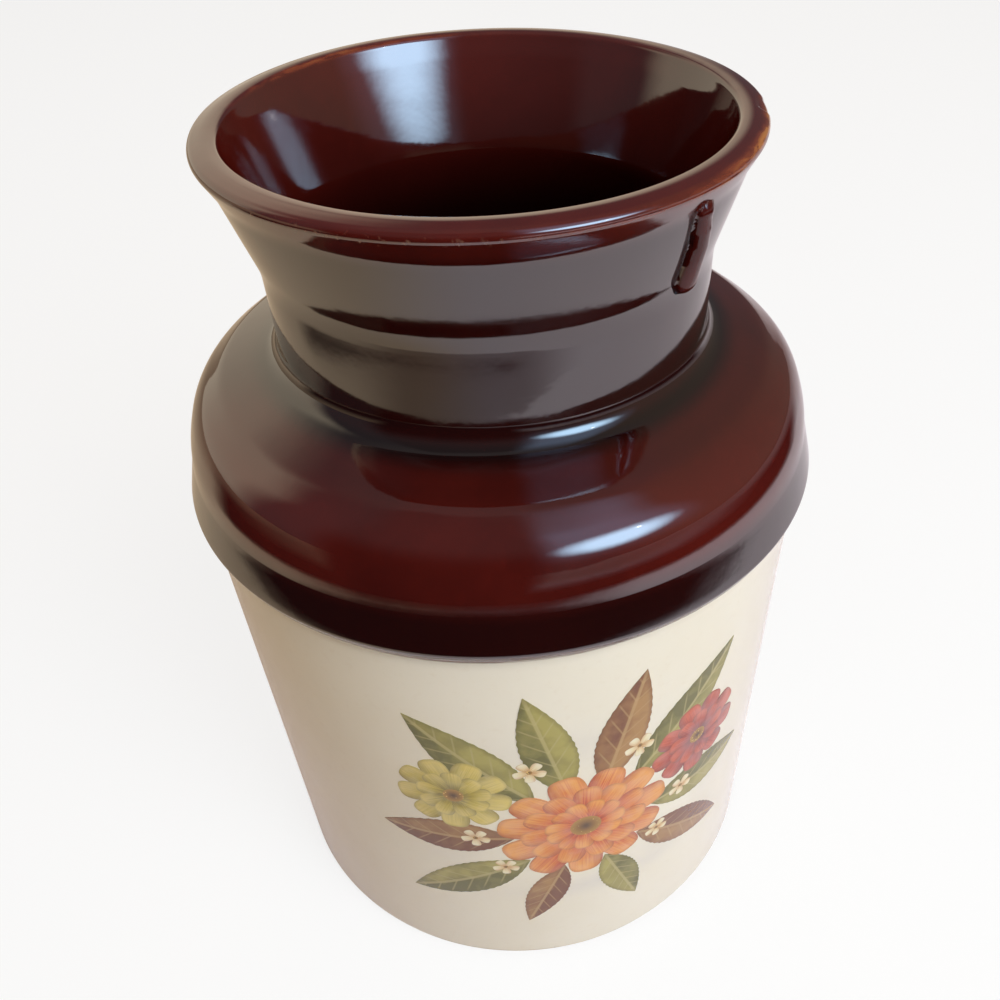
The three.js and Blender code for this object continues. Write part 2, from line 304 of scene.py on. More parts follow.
wall_foot = (BODY_RADIUS, BARE_FOOT)
wall_top = (BODY_RADIUS, BODY_HEIGHT)
band_foot = (BODY_RADIUS + BAND_STEP, BODY_HEIGHT + BAND_STEP_RISE)
band_swell = (band_foot[0] + BAND_SWELL, band_foot[1] + BAND_SWELL_RISE)
crease = (BODY_RADIUS + CREASE_PROUD, BODY_HEIGHT + BAND_HEIGHT)
dome_foot = (BODY_RADIUS - DOME_FOOT_INSET, crease[1] + DOME_FOOT_HEIGHT)
dome = (dome_foot[0] - DOME_SIDE_LEAN, dome_foot[1] + DOME_SIDE_HEIGHT)
ledge_edge = (dome[0] - DOME_TOP_WIDTH, dome[1] + DOME_TOP_HEIGHT)
neck_foot = (NECK_RADIUS, ledge_edge[1] + LEDGE_RISE)
neck_top = (NECK_RADIUS, neck_foot[1] + NECK_HEIGHT)
lip_root = (NECK_RADIUS + FLARE_REACH, neck_top[1] + FLARE_HEIGHT)
lip_nose = (lip_root[0] + LIP_PROUD, lip_root[1] + LIP_ROOT_HEIGHT)
crown = (lip_nose[0] - CROWN_INSET, lip_nose[1] + LIP_HEIGHT)
floor_top = RECESS + FLOOR
dome_slope = DOME_TOP_HEIGHT / DOME_TOP_WIDTH
inner_foot, inner_dome, inner_edge, inner_neck, inner_neck_top, inner_cone = moved([
    (BODY_RADIUS, floor_top),
    (BODY_RADIUS, ledge_edge[1] - dome_slope * (BODY_RADIUS - ledge_edge[0])),
    ledge_edge,
    neck_foot,
    neck_top,
    on_line(neck_top, lip_root, crown[1]),
], WALL)
mouth_edge = on_line(inner_neck_top, inner_cone, crown[1] - CROWN_DROP)
turn_in = on_line(inner_neck_top, inner_cone, crown[1] - TURN_IN)

wall_line = [wall_foot, wall_top]
top_line = rounded([
    (*wall_top, 0),
    (*band_foot, BAND_EDGE_FILLET),
    (*band_swell, BAND_FILLET),
    (*crease, CREASE_FILLET),
    (*dome_foot, DOME_FOOT_FILLET),
    (*dome, DOME_FILLET),
    (*ledge_edge, LEDGE_FILLET),
    (*neck_foot, COVE_FILLET),
    (*neck_top, FLARE_FILLET),
    (*lip_root, LIP_ROOT_FILLET),
    (*lip_nose, LIP_NOSE_FILLET),
    (*crown, CROWN_FILLET),
    (*mouth_edge, LIP_INNER_FILLET),
    (*turn_in, 0),
])
lining_line = rounded([
    (*turn_in, 0),
    (*inner_neck_top, FLARE_FILLET - WALL),
    (*inner_neck, INNER_NECK_FILLET),
    (*inner_edge, 0),
    (*inner_dome, INNER_DOME_FILLET),
    (*inner_foot, FLOOR_FILLET),
    (0, floor_top, 0),
])


# Meshes

def azimuths(columns, windows=()):
    """Azimuths round the jar, finer in the (from, to, step) windows."""
    turns = np.arange(columns) * 360.0 / columns - 180.0
    for low, high, step in windows:
        turns = turns[(turns < low - step / 2) | (turns > high + step / 2)]
        turns = np.concatenate((turns, np.arange(low, high + step / 2, step)))
    return np.sort(turns)


def add_object(name, verts, faces, material):
    mesh = bpy.data.meshes.new(name)
    mesh.from_pydata([tuple(v) for v in verts], [], faces)
    mesh.materials.append(material)
    mesh.polygons.foreach_set("use_smooth", [True] * len(mesh.polygons))
    mesh.update()
    mesh.set_sharp_from_angle(angle=SHARP)
    piece = bpy.data.objects.new(name, mesh)
    bpy.context.scene.collection.objects.link(piece)
    return piece


def add_values(piece, **values):
    """Numbers for each vertex, for the material to read by name."""
    for name, numbers in values.items():
        attribute = piece.data.attributes.new(name, "FLOAT", "POINT")
        attribute.data.foreach_set("value", np.asarray(numbers, np.float32))


def polar(piece):
    """Radius, height and azimuth of each vertex."""
    flat = np.empty(3 * len(piece.data.vertices))
    piece.data.vertices.foreach_get("co", flat)
    x, y, z = flat.reshape(-1, 3).T / MM
    return np.hypot(x, y), z, np.degrees(np.arctan2(x, -y))


def revolve(name, loop, turns, material, shape=None, skin=None):
    """Closed coat or body: a loop of (radius, height) points turned round Z.

    The loop runs anticlockwise round the solid, or from the axis to the axis. shape(radius, height,
    azimuth) returns how far a point of the skin is moved along its normal; skin is the stretch of
    the loop that it acts on.
    """
    loop = np.asarray(loop, float)
    count, width = len(loop), len(turns)
    radius = np.repeat(loop[:, :1], width, axis=1)
    height = np.repeat(loop[:, 1:], width, axis=1)
    azimuth = np.repeat(np.radians(turns)[None, :], count, axis=0)
    if shape is not None:
        part = slice(*skin)
        out = -mitres(loop)[part]
        lift = shape(radius[part], height[part], np.degrees(azimuth[part]))
        radius[part] += out[:, :1] * lift
        height[part] += out[:, 1:] * lift
    grid = np.stack((radius * np.sin(azimuth), -radius * np.cos(azimuth), height), axis=-1) * MM
    on_axis = loop[:, 0] < 1e-6
    index = np.zeros((count, width), int)
    verts = []
    for row in range(count):
        if on_axis[row]:
            index[row] = len(verts)
            verts.append(grid[row, 0])
        else:
            index[row] = np.arange(width) + len(verts)
            verts.extend(grid[row])
    closed = not (on_axis[0] and on_axis[-1])
    faces = []
    for row in range(count if closed else count - 1):
        below, above = index[row], index[(row + 1) % count]
        for k in range(width):
            n = (k + 1) % width
            corners = (below[k], below[n], above[n], above[k])
            face = tuple(int(c) for i, c in enumerate(corners) if c not in corners[:i])
            if len(face) > 2:
                faces.append(face)
    return add_object(name, verts, faces, material)


def coat_loop(skin, line):
    """Loop of a coat: its finely split skin, and its back a glaze's thickness under the same line."""
    return np.vstack((skin, moved(line, GLAZE)[::-1]))


def smooth_step(low, high, x):
    t = np.clip((x - low) / (high - low), 0, 1)
    return t * t * (3 - 2 * t)


def turned_from(azimuth, middle):
    """Degrees from a middle azimuth, the short way round."""
    return (azimuth - middle + 180) % 360 - 180


# Materials

class Paint:
    """Short ways to add nodes to one material."""

    def __init__(self, name):
        self.material = bpy.data.materials.new(name)
        self.material.use_nodes = True
        self.tree = self.material.node_tree
        self.shader = self.tree.nodes["Principled BSDF"]

    def node(self, kind, settings=(), **sockets):
        made = self.tree.nodes.new(f"ShaderNode{kind}")
        for key, value in dict(settings).items():
            setattr(made, key, value)
        self.fill(made, sockets)
        return made

    def fill(self, node, sockets):
        for key, value in sockets.items():
            self.put(node.inputs[key.replace("_", " ")], value)

    def put(self, socket, value):
        if isinstance(value, bpy.types.NodeSocket):
            self.tree.links.new(value, socket)
        elif socket.type == "RGBA":
            socket.default_value = (*value, 1)
        else:
            socket.default_value = value

    def set(self, **sockets):
        self.fill(self.shader, sockets)

    def surface(self, shader):
        self.put(self.tree.nodes["Material Output"].inputs["Surface"], shader)

    def place(self):
        return self.node("TexCoord").outputs["Object"]

    def value(self, name):
        return self.node("Attribute", {"attribute_name": name}).outputs["Fac"]

    def vector(self, x, y, z):
        return self.node("CombineXYZ", X=x, Y=y, Z=z).outputs["Vector"]

    def stretched(self, scale):
        return self.node("Mapping", Scale=scale, Vector=self.place()).outputs["Vector"]

    def noise(self, scale, detail=3.0, vector=None, distortion=0.0):
        made = self.node("TexNoise", Scale=scale, Detail=detail, Distortion=distortion)
        self.put(made.inputs["Vector"], vector or self.place())
        return made.outputs["Fac"]

    def ramp(self, value, *stops):
        made = self.node("ValToRGB", Fac=value)
        band = made.color_ramp
        while len(band.elements) < len(stops):
            band.elements.new(0.5)
        for element, (at, colour) in zip(band.elements, stops):
            element.position = at
            element.color = (*colour, 1)
        return made.outputs["Color"]

    def span(self, value, low, high, to_low=0.0, to_high=1.0):
        made = self.node("MapRange", {"interpolation_type": "SMOOTHSTEP"})
        numbers = (value, low, high, to_low, to_high)
        for key, number in zip(("Value", "From Min", "From Max", "To Min", "To Max"), numbers):
            self.put(made.inputs[key], number)
        return made.outputs["Result"]

    def maths(self, operation, a, b=0.0):
        made = self.node("Math", {"operation": operation})
        self.put(made.inputs[0], a)
        self.put(made.inputs[1], b)
        return made.outputs["Value"]

    def times(self, a, b):
        return self.maths("MULTIPLY", a, b)

    def plus(self, a, b):
        return self.maths("ADD", a, b)

    def mix(self, amount, a, b):
        made = self.node("Mix", {"data_type": "RGBA"})
        for socket, value in zip((made.inputs[0], made.inputs[6], made.inputs[7]), (amount, a, b)):
            self.put(socket, value)
        return made.outputs[2]

    def specks(self, scale, size, share):
        """Round specks, as a mask: this share of the cells holds one."""
        made = self.node("TexVoronoi", Scale=scale, Vector=self.place())
        dot = self.span(made.outputs["Distance"], size, size * 0.5)
        chosen = self.maths("GREATER_THAN", made.outputs["Color"], 1 - share)
        return self.times(dot, chosen)

    def bump(self, height, distance, strength, below=None):
        made = self.node("Bump", Height=height, Distance=distance, Strength=strength)
        if below is not None:
            self.put(made.inputs["Normal"], below)
        return made.outputs["Normal"]

    def seen(self):
        """Masks of the rays that show a background: straight ones, and mirrored or refracted ones."""
        path = self.node("LightPath").outputs
        mirrored = self.maths("MAXIMUM", path["Is Glossy Ray"], path["Is Transmission Ray"])
        return path["Is Camera Ray"], mirrored

    def dot(self, vector, direction):
        made = self.node("VectorMath", {"operation": "DOT_PRODUCT"})
        self.put(made.inputs[0], vector)
        made.inputs[1].default_value = direction
        return made.outputs["Value"]

    def unit(self, vector):
        made = self.node("VectorMath", {"operation": "NORMALIZE"})
        self.put(made.inputs[0], vector)
        return made.outputs["Vector"]

    def glow(self, colour):
        return self.node("Emission", Color=colour, Strength=1.0).outputs["Emission"]

    def blend(self, amount, a, b):
        """Surface that goes from shader a to shader b."""
        made = self.node("MixShader", Fac=amount)
        self.put(made.inputs[1], a)
        self.put(made.inputs[2], b)
        self.surface(made.outputs["Shader"])


def brown_glaze(name):
    """Deep glossy chestnut glaze: cloudy, near black where it pools and where shade is painted, amber where
    it runs thin.
    """
    deep, lit, pooled = (0.046, 0.0036, 0.0024), (0.098, 0.0085, 0.005), (0.005, 0.0008, 0.0007)
    rust, amber = (0.17, 0.03, 0.01), (0.4, 0.14, 0.03)
    rubbed, pricked = (0.34, 0.22, 0.15), (0.34, 0.25, 0.2)
    paint = Paint(name)
    cloud = paint.noise(16, 5, distortion=0.6)
    colour = paint.ramp(cloud, (0.28, deep), (0.72, lit))
    curdle = paint.noise(330, 2)
    colour = paint.mix(paint.span(curdle, 0.5, 0.85, 0, 0.3), colour, lit)
    # near black where the glaze pools, and painted shade on the band, neck, cove and inside the mouth
    colour = paint.mix(paint.value("pool"), colour, pooled)
    streaks = paint.noise(1, 4, paint.stretched((150, 150, 800)), 0.4)
    thin = paint.times(paint.value("thin"), paint.span(streaks, 0.32, 0.6, 0.35, 1))
    broken = paint.ramp(thin, (0.0, lit), (0.45, rust), (0.85, amber))
    colour = paint.mix(paint.span(thin, 0.05, 0.4), colour, broken)
    rubs = paint.times(paint.span(paint.noise(900, 3), 0.58, 0.7), paint.value("worn"))
    colour = paint.mix(rubs, colour, rubbed)
    pinhole = paint.specks(95, 0.03, 0.08)
    colour = paint.mix(pinhole, colour, pricked)
    gloss = paint.span(paint.noise(28, 4), 0.3, 0.8, 0.045, 0.085)
    scratch = paint.noise(1, 2, paint.stretched((60, 60, 900)))
    gloss = paint.plus(gloss, paint.span(scratch, 0.66, 0.78, 0, 0.05))
    gloss = paint.plus(gloss, paint.times(rubs, 0.3))
    swell = paint.bump(paint.noise(34, 2), 0.0006, 0.25)
    peel = paint.bump(paint.noise(240, 2), 0.00006, 0.25, swell)
    normal = paint.bump(pinhole, 0.0002, 0.6, peel)
    mirror = paint.span(paint.value("run"), 0.2, 0.7, 0.5, 0.15)
    paint.set(Base_Color=colour, Roughness=gloss, IOR=1.95, Specular_IOR_Level=mirror, Normal=normal)
    return paint.material


def clear_glaze(paint, colour):
    """Gloss and faint unevenness of the clear glaze that covers the wall and its print."""
    gloss = paint.span(paint.noise(24, 4), 0.3, 0.8, 0.08, 0.14)
    swell = paint.bump(paint.noise(30, 2), 0.0006, 0.25)
    normal = paint.bump(paint.noise(260, 2), 0.00005, 0.3, swell)
    paint.set(Base_Color=colour, Roughness=gloss, IOR=1.54, Normal=normal)
    return paint.material


def cream_glaze(name):
    """Warm ivory glaze with iron specks, a brown hem under the band with painted shade below it and soft
    tints round the print.
    """
    deep, pale, grain = (0.86, 0.785, 0.635), (0.9, 0.84, 0.71), (0.8, 0.7, 0.54)
    grey, brown, iron, freckle = (0.6, 0.56, 0.58), (0.13, 0.05, 0.022), (0.3, 0.19, 0.1), (0.55, 0.43, 0.28)
    paint = Paint(name)
    cloud = paint.noise(13, 4, distortion=0.5)
    colour = paint.ramp(cloud, (0.3, deep), (0.7, pale))
    fine = paint.noise(420, 2)
    colour = paint.mix(paint.span(fine, 0.55, 0.9, 0, 0.35), colour, grain)
    washed = paint.span(paint.noise(70, 4), 0.25, 0.7, 0.55, 1)
    colour = paint.mix(paint.times(paint.value("tint"), washed), colour, grey)
    ragged = paint.span(paint.noise(90, 3), 0.3, 0.7, 0.55, 1)
    # dark brown hem under the band, and a faint painted shade below it
    colour = paint.mix(paint.times(paint.value("hem"), ragged), colour, brown)
    colour = paint.mix(paint.specks(70, 0.024, 0.14), colour, iron)
    faint = paint.times(paint.specks(150, 0.05, 0.12), 0.35)
    colour = paint.mix(faint, colour, freckle)
    return clear_glaze(paint, colour)


def bare_clay(name):
    """Unglazed foot: buff clay with fine grog and a rubbed, slightly dirty ring."""
    buff, light, grog, dirt = (0.55, 0.42, 0.28), (0.7, 0.57, 0.4), (0.33, 0.22, 0.13), (0.42, 0.34, 0.26)
    paint = Paint(name)
    colour = paint.ramp(paint.noise(40, 6), (0.3, buff), (0.7, light))
    colour = paint.mix(paint.specks(420, 0.14, 0.25), colour, grog)
    rubbed = paint.span(paint.noise(90, 5), 0.45, 0.7, 0, 0.45)
    colour = paint.mix(rubbed, colour, dirt)
    grain = paint.bump(paint.noise(900, 3), 0.0002, 0.5)
    rough = paint.span(paint.noise(60, 3), 0.3, 0.7, 0.72, 0.9)
    paint.set(Base_Color=colour, Roughness=rough, Normal=grain)
    return paint.material


def petal_colours(name, root, middle, tip):
    """Printed petals, brushed from root to tip, with shade where the next petal lies over them."""
    paint = Paint(name)
    along, across, rim, shade = map(paint.value, PRINT_VALUES)
    grain = paint.vector(paint.times(across, 9), along, paint.times(shade, 20))
    brushed = paint.span(paint.noise(1.6, 4, grain), 0.25, 0.75, -0.2, 0.2)
    tone = paint.plus(paint.plus(along, brushed), paint.span(shade, 0, 1, -0.12, 0.12))
    colour = paint.ramp(tone, (0.12, root), (0.52, middle), (0.98, tip))
    under = paint.span(across, -0.1, -1, 0, 0.6)
    colour = paint.mix(under, colour, root)
    light = paint.times(paint.span(across, 0.0, 0.55), paint.span(along, 0.35, 0.75, 0, 0.3))
    colour = paint.mix(light, colour, tip)
    colour = paint.mix(paint.span(rim, 0.86, 1, 0, 0.35), colour, tuple(0.85 * c for c in root))
    wash = paint.span(paint.noise(180, 5), 0.3, 0.7, 0, 0.18)
    colour = paint.mix(wash, colour, tuple(0.5 + 0.5 * c for c in tip))
    return clear_glaze(paint, colour)


def leaf_colours(name, dark, light, vein):
    """Printed leaves: one half lit, with a midrib and side veins."""
    paint = Paint(name)
    along, across, rim, shade = map(paint.value, PRINT_VALUES)
    off_rib = paint.maths("ABSOLUTE", across)
    patchy = paint.span(paint.noise(130, 4), 0.3, 0.7, -0.25, 0.25)
    lit = paint.span(across, -0.25, 0.25, 0.15, 0.75)
    tone = paint.plus(paint.plus(lit, patchy), paint.span(shade, 0, 1, -0.15, 0.15))
    colour = paint.ramp(tone, (0.1, dark), (0.9, light))
    ribs = paint.maths("SUBTRACT", along, paint.times(off_rib, 0.2))
    wave = paint.maths("SINE", paint.times(ribs, 44))
    side_veins = paint.times(paint.span(wave, 0.86, 1), paint.span(off_rib, 0.9, 0.5, 0, 0.5))
    colour = paint.mix(side_veins, colour, vein)
    colour = paint.mix(paint.span(off_rib, 0.1, 0.04, 0, 0.75), colour, vein)
    colour = paint.mix(paint.span(rim, 0.8, 1, 0, 0.4), colour, tuple(0.75 * c for c in dark))
    return clear_glaze(paint, colour)


def heart_colours(name):
    """Hearts of the flowers: dark in the middle, dotted with yellow."""
    dark, ring, edge, pollen = (0.1, 0.045, 0.012), (0.3, 0.15, 0.03), (0.45, 0.24, 0.05), (0.85, 0.6, 0.16)
    paint = Paint(name)
    rim = paint.value("rim")
    colour = paint.ramp(rim, (0.1, dark), (0.6, ring), (1.0, edge))
    dots = paint.times(paint.specks(1100, 0.33, 0.6), paint.span(rim, 0.2, 0.6, 0.2, 1))
    colour = paint.mix(dots, colour, pollen)
    return clear_glaze(paint, colour)


# Coats and body

def waves(table, height, azimuth):
    swing = np.radians(azimuth)
    return sum(depth * np.sin(count * swing + height / rise + phase) for depth, count, rise, phase in table)


def run_lift(radius, height, azimuth):
    """Height of the frozen run of glaze over the flare, half round across and at its ends."""
    best = np.zeros(radius.shape)
    for above, below in zip(RUN[:-1], RUN[1:]):
        t = np.clip((height - above[1]) / (below[1] - above[1]), 0, 1)
        middle, level, half, lift = (p + (q - p) * t for p, q in zip(above, below))
        across = np.radians(azimuth - middle) * radius
        off = (across ** 2 + (height - level) ** 2) / half ** 2
        best = np.maximum(best, lift * np.sqrt(np.clip(1 - off, 0, 1)))
    return np.where((radius > NECK_RADIUS - 1) & (height < lip_nose[1]), best, 0)


def dent_depth(radius, height, azimuth):
    """Depth of the dent in the lip's outer edge, steep at its near end."""
    middle, length, depth = DENT
    along = np.radians(azimuth - middle) * lip_nose[0]
    reach = np.where(along < 0, length * DENT_STEEP, length)
    edge = np.hypot(radius - lip_nose[0] + DENT_INSET, height - lip_nose[1]) / DENT_REACH
    return depth * np.clip(1 - (along / reach) ** 2 - edge ** 2, 0, 1) ** DENT_POWER


def top_shape(radius, height, azimuth):
    """Waves of the dipped glaze, its run and the dent, fading out where the lining begins."""
    inside = (radius < mouth_edge[0] + 0.3) & (height > turn_in[1] - 1)
    fade = np.where(inside, smooth_step(turn_in[1], crown[1] - 1, height), 1)
    shift = fade * (waves(TOP_WAVES, height, azimuth) - SHY)
    return shift + run_lift(radius, height, azimuth) - dent_depth(radius, height, azimuth)


def wall_shape(radius, height, azimuth):
    return waves(WALL_WAVES, height, azimuth) - WALL_SHY


def near_ring(radius, height, ring, width):
    return np.exp(-(np.hypot(radius - ring[0], height - ring[1]) / width) ** 2)


def on_arcs(at, corner, place, width, even, arcs):
    """Mask of a ring placed from a corner of the profile, stronger on arcs as the camera sees them."""
    radius, height, azimuth = at
    ring = (corner[0] + place[0], corner[1] + place[1])
    share = even
    for middle, half, strength in arcs:
        share = share + strength * np.exp(-(turned_from(azimuth - CAMERA_AZIMUTH, middle) / half) ** 2)
    return near_ring(radius, height, ring, width) * share


def thin_glaze(at):
    """How far the glaze has drawn back from edges, 0 to 1."""
    radius, height, _ = at
    thin = on_arcs(at, lip_nose, *THIN_OUTER) + on_arcs(at, lip_nose, *THIN_FACE)
    thin += on_arcs(at, mouth_edge, *THIN_INNER)
    thin += THIN_HEM * near_ring(radius, height, band_foot, THIN_HEM_WIDTH)
    return np.clip(thin, 0, 1)


def inner_pool(height):
    """Painted shade: the lining darkens from the mouth down."""
    return smooth_step(crown[1] - 1, neck_foot[1] + 6, height)


def outer_pool(radius, height, run):
    """How thick the brown glaze lies outside, 0 to 1, most of all on the band, neck and cove, with painted
    shade there.
    """
    def swell(foot, heights):
        low, full, falls, high = (foot + rise for rise in heights)
        return smooth_step(low, full, height) * (1 - smooth_step(falls, high, height))

    # painted shade on the neck, and pooled glaze with painted shade on the band and in the rings
    neck = POOL_AND_SHADE_SHARE * swell(neck_foot[1], NECK_PAINTED_SHADE) * (1 - run) + RUN_SHARE * run
    pool = np.maximum(POOL_AND_SHADE_SHARE * swell(BODY_HEIGHT, BAND_POOL_AND_SHADE), neck)
    for ring_radius, ring_height, width, share in POOL_AND_SHADE_RINGS:
        pool = np.maximum(pool, share * near_ring(radius, height, (ring_radius, ring_height), width))
    return pool


def brown_top(material):
    skin = refined(top_line, TOP_ROW, TOP_ZONES)
    turns = azimuths(COLUMNS, (RUN_WINDOW, DENT_WINDOW))
    piece = revolve("brown_top", coat_loop(skin, top_line), turns, material, top_shape, (0, len(skin)))
    at = polar(piece)
    radius, height, _ = at
    run = np.clip(run_lift(*at), 0, 1)
    inside = (radius < mouth_edge[0]) & (height > turn_in[1] - 1)
    pool = np.where(inside, inner_pool(height), outer_pool(radius, height, run))
    add_values(piece, thin=thin_glaze(at), pool=pool, worn=on_arcs(at, lip_nose, *WORN_FACE), run=run)
    return piece


def brown_lining(material):
    skin = refined(lining_line[:-1], LINING_ROW)
    skin = np.vstack((skin, refined(lining_line[-2:], LINING_FLOOR_ROW)[1:]))
    loop = coat_loop(skin, lining_line)
    from_axis = np.vstack((loop[len(skin):], loop[:len(skin)]))
    piece = revolve("brown_lining", from_axis, azimuths(COLUMNS), material)
    _, height, _ = polar(piece)
    zero = np.zeros(len(height))
    add_values(piece, thin=zero, pool=inner_pool(height), worn=zero, run=zero)
    return piece


def cream_wall(material):
    skin = refined(wall_line, WALL_ROW)
    skin = np.vstack((skin[:-HEM_ROWS], refined(skin[-HEM_ROWS:], HEM_ROW)))
    loop = coat_loop(skin, wall_line)
    piece = revolve("cream_wall", loop, azimuths(COLUMNS), material, wall_shape, (0, len(skin)))
    _, height, azimuth = polar(piece)
    across, up = np.radians(azimuth) * BODY_RADIUS, height - PRINT_HEIGHT
    tint = np.zeros(len(height))
    for right, above, wide, tall, strength in TINTS:
        wash = np.exp(-(((across - right) / wide) ** 2 + ((up - above) / tall) ** 2))
        tint = np.maximum(tint, strength * wash)
    hem = HEM_SHARE * smooth_step(HEM_HEIGHT, HEM_HEIGHT + HEM_EDGE, height)
    # painted shade: a faint darkening below the hem, under the band's overhang
    hem += UNDER_BAND_SHADE_SHARE * smooth_step(HEM_HEIGHT - UNDER_BAND_SHADE_REACH, HEM_HEIGHT, height)
    add_values(piece, tint=tint, hem=hem)
    return piece


def base_coat(material):
    reach = BODY_RADIUS - GLAZE - BOND - FOOT_FILLET - FOOT_RING - RECESS_DRAFT - BOND
    loop = [(0, RECESS), (reach, RECESS), (reach, RECESS + GLAZE), (0, RECESS + GLAZE)]
    piece = revolve("base_coat", refined(loop, BASE_ROW), azimuths(BASE_COLUMNS), material)
    zero = np.zeros(len(piece.data.vertices))
    add_values(piece, tint=zero, hem=zero)
    return piece


def clay_body(material):
    clay = moved([*wall_line, *top_line[1:], *lining_line[1:]], GLAZE + BOND)
    reach = clay[0][0]
    inside = reach - FOOT_FILLET - FOOT_RING
    ceiling = RECESS + GLAZE + BOND
    foot = rounded([
        (0, ceiling, 0),
        (inside - RECESS_DRAFT, ceiling, 0),
        (inside, 0, FOOT_INNER_FILLET),
        (reach, 0, FOOT_FILLET),
        (*clay[0], 0),
    ], FOOT_ARC_STEP)
    loop = np.vstack((refined(foot, FOOT_ROW)[:-1], clay))
    loop[-1][0] = 0
    return revolve("clay_body", loop, azimuths(CLAY_COLUMNS), material)


# Print

class PrintLayer:
    """Thin closed patches of the print in one colour, gathered into one mesh.

    A patch has its outline in its own frame, anticlockwise: x across, y along, from its root.
    """

    def __init__(self):
        self.verts = []
        self.faces = []
        self.values = {name: [] for name in PRINT_VALUES}

    def add(self, outline, root, lean, lift, shade, tilt=0.0):
        outline = np.asarray(outline, float)
        length, half = outline[:, 1].max(), outline[:, 0].max()
        heart = np.array((0, (outline[:, 1].max() + outline[:, 1].min()) / 2))
        rings = math.ceil(np.linalg.norm(outline - heart, axis=1).max() / PATCH_STEP)
        shares = np.arange(rings, 0, -1) / rings
        flat = np.vstack([heart + (outline - heart) * share for share in shares] + [heart, outline, heart])
        rim = np.concatenate((np.repeat(shares, len(outline)), (0,), np.ones(len(outline)), (0,)))
        lifts = lift + tilt * flat[:, 0] / half
        lifts[-len(outline) - 1:] = PRINT_BACK
        first = len(self.verts)
        c, s = math.cos(math.radians(lean)), math.sin(math.radians(lean))
        across = root[0] + c * flat[:, 0] + s * flat[:, 1]
        up = root[1] - s * flat[:, 0] + c * flat[:, 1]
        turn = across / BODY_RADIUS
        radius = BODY_RADIUS + lifts
        on_wall = np.column_stack((radius * np.sin(turn), -radius * np.cos(turn), PRINT_HEIGHT + up))
        self.verts.extend(on_wall * MM)
        count = len(outline)
        heart_at = first + rings * count
        back = heart_at + 1
        for i in range(count):
            n = (i + 1) % count
            for ring in range(rings - 1):
                outer, inner = first + ring * count, first + (ring + 1) * count
                self.faces.append((outer + i, outer + n, inner + n, inner + i))
            last = first + (rings - 1) * count
            self.faces.append((last + i, last + n, heart_at))
            self.faces.append((back + i, back + n, first + n, first + i))
            self.faces.append((back + n, back + i, back + count))
        self.values["along"].extend(flat[:, 1] / length)
        self.values["across"].extend(flat[:, 0] / half)
        self.values["rim"].extend(rim)
        self.values["shade"].extend([shade] * len(flat))

    def build(self, name, material):
        piece = add_object(name, self.verts, self.faces, material)
        add_values(piece, **self.values)
        return piece


def both_sides(half, along):
    """Closed outline from the right half of a petal or leaf, root first and tip last."""
    right = np.column_stack((half, along))
    left = right[-2:0:-1] * (-1, 1)
    return np.vstack((right, left))


def petal_outline(length, width):
    t = np.sin(np.linspace(0, math.pi / 2, 15))
    half = width * t ** 0.6 * np.sqrt(np.clip(1 - t ** 5, 0, 1))
    along = length * (t - 0.035 * smooth_step(0.9, 1, t) * (1 - half / width))
    return both_sides(half, along)


def leaf_outline(length, width):
    """The leaf of the part's source with a finely toothed edge."""
    t = np.linspace(0, 1, 33)
    half = 2 * t * (1 - t) * width
    along = 2 * t * (1 - t) * LEAF_BELLY * length + t * t * length
    teeth = np.where(np.arange(33) % 2 == 1, 0.3, 0) * np.sin(math.pi * t)
    return both_sides(half + teeth, along)


def disc_outline(radius):
    turn = np.linspace(0, 2 * math.pi, 25)[:-1]
    return np.column_stack((radius * np.sin(-turn), radius * np.cos(-turn)))


def add_bloom(petals, hearts, bloom, lift, rings, seed):
    """A round flower: rings of petals as (share of the radius, width share, petals off by half)."""
    across, up, radius, count = bloom
    root = (across * PRINT_REACH, up * PRINT_REACH)
    rng = np.random.default_rng(seed)
    for share, width, turn in rings:
        reach = share * radius * PRINT_REACH
        for i in range(count):
            lean = (i + turn) * 360 / count + rng.uniform(-2, 2)
            outline = petal_outline(reach * rng.uniform(0.97, 1), reach * width)
            petals.add(outline, root, lean, lift, rng.uniform(0, 1), FAN_TILT)
        lift += PETAL_LAYER
    hearts.add(disc_outline(HEART_SHARE * radius * PRINT_REACH), root, 0, lift, 0.5)


